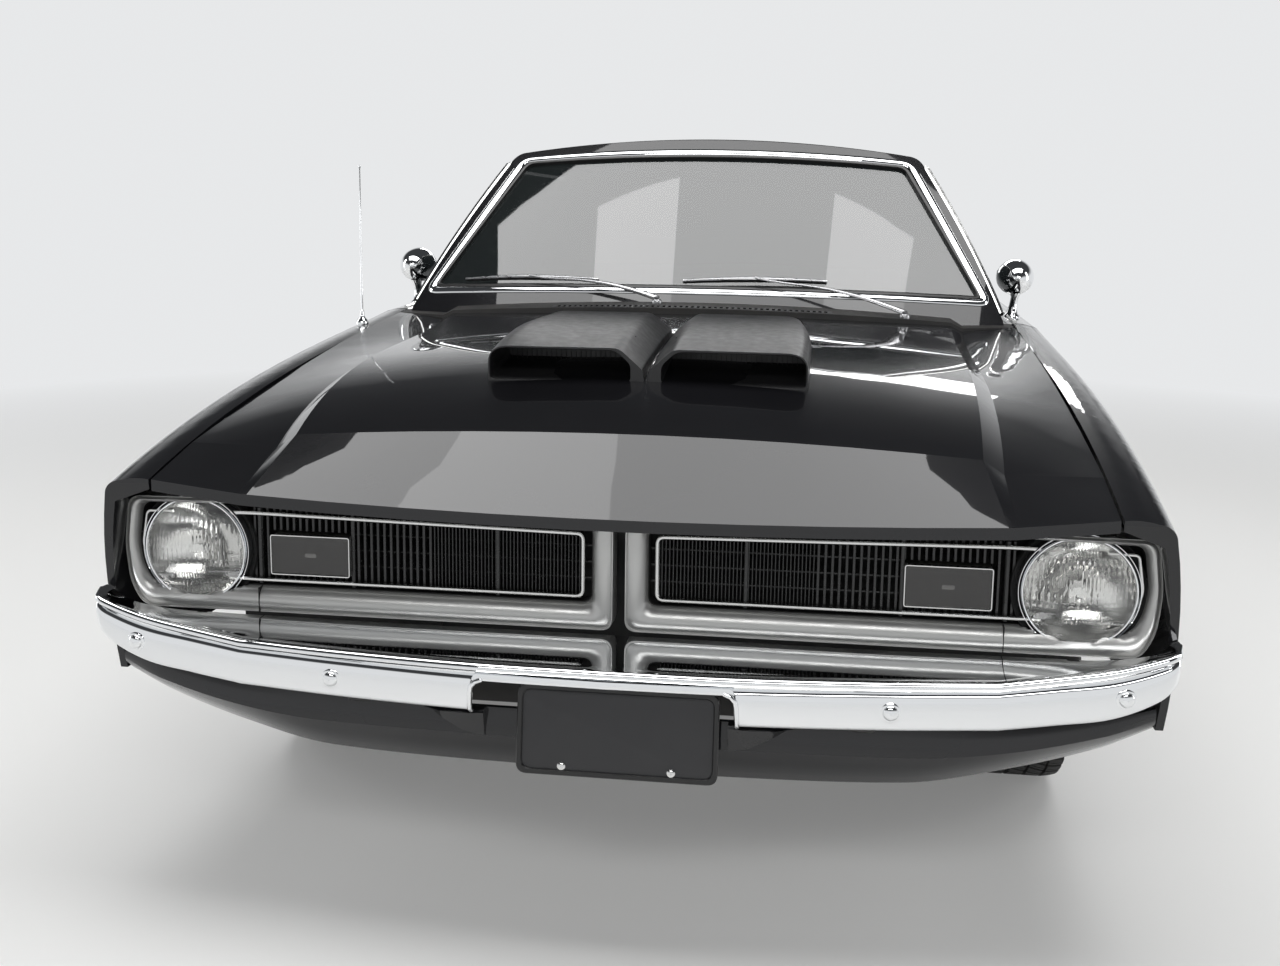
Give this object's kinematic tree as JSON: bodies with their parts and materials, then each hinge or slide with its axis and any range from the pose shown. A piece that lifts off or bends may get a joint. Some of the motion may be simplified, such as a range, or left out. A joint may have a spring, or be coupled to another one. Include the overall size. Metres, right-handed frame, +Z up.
{
  "type": "two-door muscle coupe",
  "caption": "Gloss-black two-door fastback muscle coupe with a dual-mouth hood scoop, wide silver-framed grille, wrap-around chrome bumpers, opening doors, hood and trunk, and steered wheels.",
  "frame": {"origin": "on the ground under the middle of the car's bounding box", "axes": "+Z up, -Y towards the front of the car, +X towards the car's left side"},
  "size_m": [1.8182, 4.89, 1.4001],
  "materials": {
    "black_paint": "gloss",
    "satin_black": "satin",
    "silver_trim": "satin",
    "chrome": "polished",
    "window_glass": "clear",
    "lamp_glass": "fluted",
    "red_lens": "gloss",
    "chassis_black": "satin",
    "cast_iron": "painted",
    "radiator_metal": "matte",
    "exhaust_steel": "aged",
    "tank_steel": "dull",
    "rubber_tyre": "matte",
    "wheel_metal": "satin",
    "dash_plastic": "grained",
    "wheel_wood": "lacquered",
    "seat_vinyl": "grained"
  },
  "bodies": {
    "root": {"front_fenders": "black_paint", "quarter_panels": "black_paint", "roof": "black_paint", "fixed_glass": "window_glass", "rear_panels": "black_paint", "tail_lamps": "red_lens", "front_structure": "chassis_black", "cowl_vent": "satin_black", "floor": "chassis_black", "engine": "cast_iron", "radiator": "radiator_metal", "exhaust": "exhaust_steel", "fuel_tank": "tank_steel", "rear_axle": "chassis_black", "front_suspension": "chassis_black", "grille_bezels": "silver_trim", "grille": "satin_black", "front_lamps": "lamp_glass", "front_bumper": "chrome", "front_valance": "black_paint", "rear_bumper": "chrome", "wipers": "satin_black", "antenna": "chrome", "dashboard": "dash_plastic", "front_seats": "seat_vinyl", "rear_seat": "seat_vinyl"},
    "hood": {"hood": "black_paint", "hood_scoop": "satin_black"},
    "door_left": {"door_left": "black_paint", "door_glass_left": "window_glass", "mirror_left": "chrome"},
    "door_right": {"door_right": "black_paint", "door_glass_right": "window_glass", "mirror_right": "chrome"},
    "trunk_lid": {"trunk_lid": "black_paint"},
    "steering_wheel": {"steering_wheel": "wheel_wood"},
    "knuckle_left": {"knuckle_left": "chassis_black"},
    "knuckle_right": {"knuckle_right": "chassis_black"},
    "wheel_front_left": {"rim_front_left": "wheel_metal", "tyre_front_left": "rubber_tyre"},
    "wheel_front_right": {"rim_front_right": "wheel_metal", "tyre_front_right": "rubber_tyre"},
    "wheel_rear_left": {"rim_rear_left": "wheel_metal", "tyre_rear_left": "rubber_tyre"},
    "wheel_rear_right": {"rim_rear_right": "wheel_metal", "tyre_rear_right": "rubber_tyre"}
  },
  "joints": [
    {"name": "steer_left", "type": "hinge", "parent": "root", "child": "knuckle_left", "pos_m": [0.64, -1.52, 0.325], "axis": [0, 0, 1], "range_deg": [-28, 28]},
    {"name": "steer_right", "type": "hinge", "parent": "root", "child": "knuckle_right", "pos_m": [-0.64, -1.52, 0.325], "axis": [0, 0, 1], "range_deg": [-28, 28]},
    {"name": "wheel_front_left_spin", "type": "hinge", "parent": "knuckle_left", "child": "wheel_front_left", "pos_m": [0.74, -1.52, 0.325], "axis": [1, 0, 0], "continuous": true},
    {"name": "wheel_front_right_spin", "type": "hinge", "parent": "knuckle_right", "child": "wheel_front_right", "pos_m": [-0.74, -1.52, 0.325], "axis": [1, 0, 0], "continuous": true},
    {"name": "wheel_rear_left_spin", "type": "hinge", "parent": "root", "child": "wheel_rear_left", "pos_m": [0.728, 1.223, 0.325], "axis": [1, 0, 0], "continuous": true},
    {"name": "wheel_rear_right_spin", "type": "hinge", "parent": "root", "child": "wheel_rear_right", "pos_m": [-0.728, 1.223, 0.325], "axis": [1, 0, 0], "continuous": true},
    {"name": "steering_wheel_turn", "type": "hinge", "parent": "root", "child": "steering_wheel", "pos_m": [0.37, -0.4, 0.8], "axis": [0, 0.9272, 0.3746], "range_deg": [-448, 448]},
    {"name": "hood_open", "type": "hinge", "parent": "root", "child": "hood", "pos_m": [0, -0.9, 0.97], "axis": [-1, 0, 0], "range_deg": [0, 50]},
    {"name": "door_left_open", "type": "hinge", "parent": "root", "child": "door_left", "pos_m": [0.902, -0.82, 0.5], "axis": [0, 0, -1], "range_deg": [0, 65]},
    {"name": "door_right_open", "type": "hinge", "parent": "root", "child": "door_right", "pos_m": [-0.902, -0.82, 0.5], "axis": [0, 0, 1], "range_deg": [0, 65]},
    {"name": "trunk_open", "type": "hinge", "parent": "root", "child": "trunk_lid", "pos_m": [0, 1.49, 0.975], "axis": [1, 0, 0], "range_deg": [0, 70]}
  ],
  "couplings": [
    {"joint": "steer_right", "follows": "steer_left", "ratio": 1},
    {"joint": "steering_wheel_turn", "follows": "steer_left", "ratio": 16}
  ]
}
